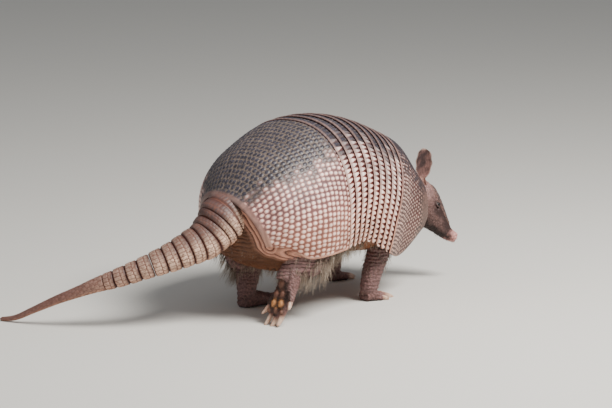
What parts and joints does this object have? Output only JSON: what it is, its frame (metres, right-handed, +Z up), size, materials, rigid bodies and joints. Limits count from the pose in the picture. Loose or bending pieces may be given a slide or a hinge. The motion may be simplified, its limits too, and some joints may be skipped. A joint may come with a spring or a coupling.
{
  "type": "armadillo",
  "caption": "Life-size still model of a banded armadillo, walking with its back arched, its head low and turned to the right, and its ringed tail trailing to the ground.",
  "frame": {"origin": "middle of the bounding box, on the floor that the animal stands on", "axes": "+X forward along the body, +Y to the animal's left, +Z up"},
  "size_m": [0.5106, 0.287, 0.2152],
  "materials": {
    "carapace": "horny scutes, pale pinkish ivory with reddish brown grooves on the flanks and dark slate grey on the back, satin sheen",
    "head_scutes": "small irregular brown scutes, satin",
    "tail_scutes": "rings of small cream and reddish brown scutes, satin",
    "skin": "wrinkled dark brown skin with small scales on the limbs and sparse pale hair",
    "head_skin": "purplish brown skin with small scales, pinker at the nose",
    "ear_skin": "pebbled brown pink leathery skin with a pale rim",
    "claw": "ivory pink horn, darker at the base",
    "eye": "wet black"
  },
  "bodies": {
    "root": {"band_1": "carapace", "band_2": "carapace", "band_3": "carapace", "band_4": "carapace", "band_5": "carapace", "band_6": "carapace", "band_7": "carapace", "band_8": "carapace", "band_9": "carapace", "claw_fore_left_1": "claw", "claw_fore_left_2": "claw", "claw_fore_left_3": "claw", "claw_fore_left_4": "claw", "claw_fore_right_1": "claw", "claw_fore_right_2": "claw", "claw_fore_right_3": "claw", "claw_fore_right_4": "claw", "claw_hind_left_1": "claw", "claw_hind_left_2": "claw", "claw_hind_left_3": "claw", "claw_hind_left_4": "claw", "claw_hind_left_5": "claw", "claw_hind_right_1": "claw", "claw_hind_right_2": "claw", "claw_hind_right_3": "claw", "claw_hind_right_4": "claw", "claw_hind_right_5": "claw", "ear_left": "ear_skin", "ear_right": "ear_skin", "eye_left": "eye", "eye_right": "eye", "forefoot_left": "skin", "forefoot_right": "skin", "foreleg_left": "skin", "foreleg_right": "skin", "head": "head_skin", "head_shield": "head_scutes", "hindfoot_left": "skin", "hindfoot_right": "skin", "neck": "skin", "pelvic_shield": "carapace", "shank_left": "skin", "shank_right": "skin", "shoulder_shield": "carapace", "tail_ring_1": "tail_scutes", "tail_ring_10": "tail_scutes", "tail_ring_11": "tail_scutes", "tail_ring_12": "tail_scutes", "tail_ring_2": "tail_scutes", "tail_ring_3": "tail_scutes", "tail_ring_4": "tail_scutes", "tail_ring_5": "tail_scutes", "tail_ring_6": "tail_scutes", "tail_ring_7": "tail_scutes", "tail_ring_8": "tail_scutes", "tail_ring_9": "tail_scutes", "tail_tip": "tail_scutes", "thigh_left": "skin", "thigh_right": "skin", "trunk": "skin"}
  },
  "joints": []
}
